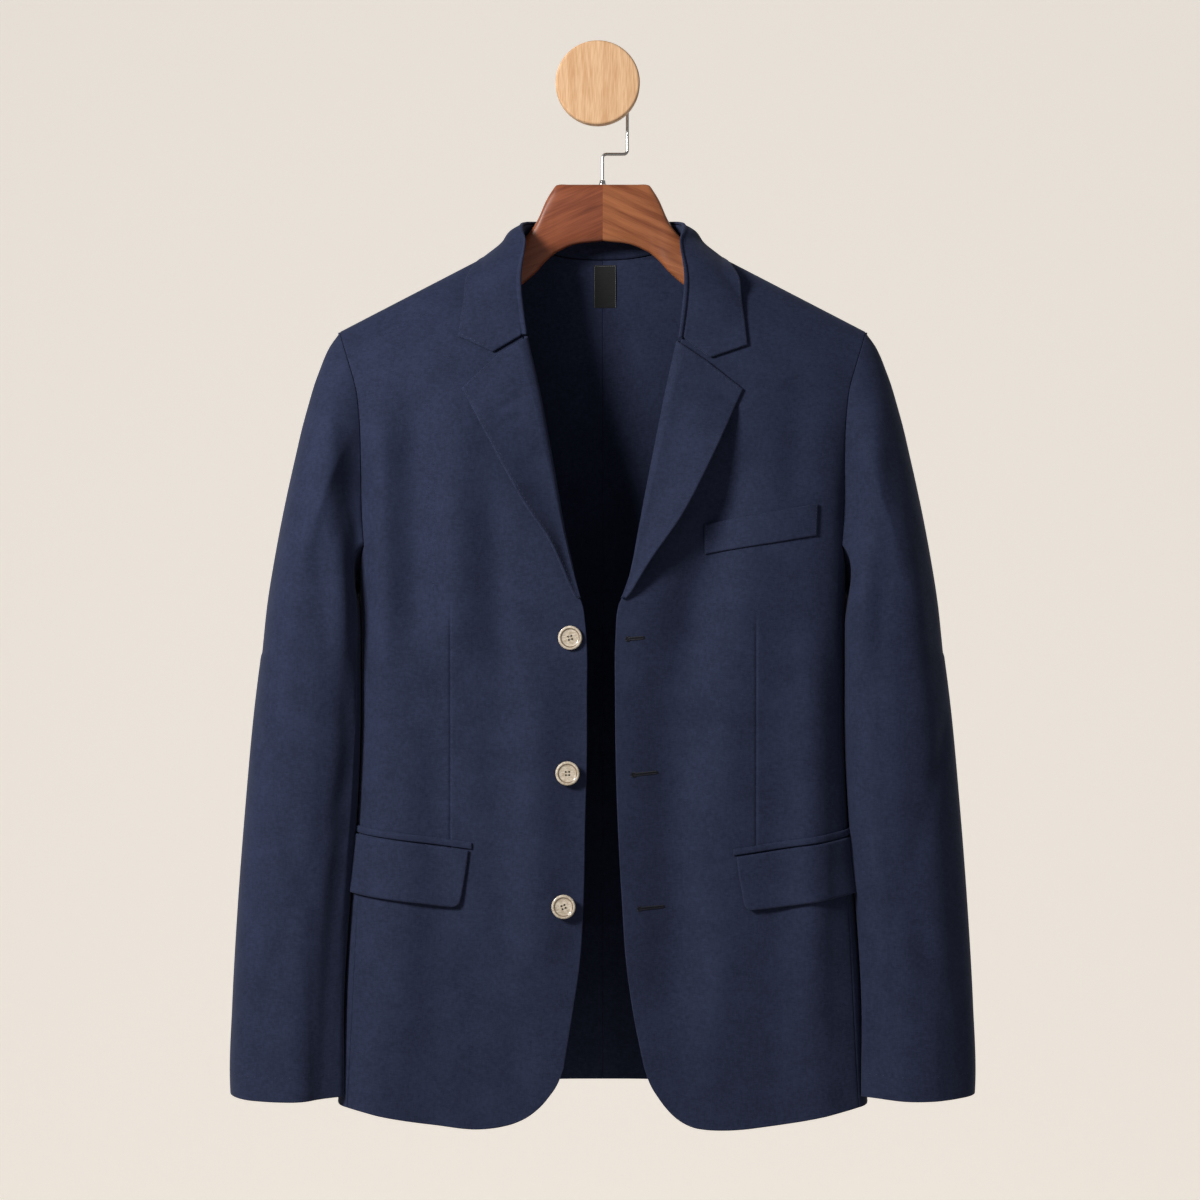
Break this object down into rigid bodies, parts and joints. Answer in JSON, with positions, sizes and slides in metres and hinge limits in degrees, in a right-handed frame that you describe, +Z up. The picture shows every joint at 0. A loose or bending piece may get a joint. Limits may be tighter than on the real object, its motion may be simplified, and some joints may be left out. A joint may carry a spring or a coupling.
{
  "type": "single breasted blazer on a wooden suit hanger and wall peg",
  "caption": "Open single breasted blazer with notch lapels, flap pockets and a chest welt, hanging on a wooden suit hanger from a turned wall peg.",
  "frame": {"origin": "centre of the wall peg's flat back face, which lies against the wall", "axes": "+Z up along the hanging garment, -Y out from the wall towards the room, +X towards the wearer's left"},
  "size_m": [0.6482, 0.1288, 0.9473],
  "materials": {
    "navy_cloth": "matt wool cloth",
    "navy_turned_cloth": "matt wool cloth, turned and pressed",
    "greige_horn": "satin",
    "black_tape": "ribbed tape",
    "brown_varnished_wood": "clear varnish",
    "bright_steel": "polished",
    "pale_beech": "satin"
  },
  "bodies": {
    "root": {"front_left": "navy_cloth", "front_right": "navy_cloth", "side_left": "navy_cloth", "side_right": "navy_cloth", "back_left": "navy_cloth", "back_right": "navy_cloth", "top_sleeve_left": "navy_cloth", "top_sleeve_right": "navy_cloth", "under_sleeve_left": "navy_cloth", "under_sleeve_right": "navy_cloth", "lapel_left": "navy_turned_cloth", "lapel_right": "navy_turned_cloth", "collar_fall": "navy_turned_cloth", "collar_stand": "navy_turned_cloth", "flap_left": "navy_turned_cloth", "flap_right": "navy_turned_cloth", "jet_left": "navy_turned_cloth", "jet_right": "navy_turned_cloth", "chest_welt": "navy_turned_cloth", "button_1": "greige_horn", "button_2": "greige_horn", "button_3": "greige_horn", "neck_tab": "black_tape", "hanger_left": "brown_varnished_wood", "hanger_right": "brown_varnished_wood", "hook": "bright_steel", "ferrule": "bright_steel", "wall_peg": "pale_beech"}
  },
  "joints": []
}
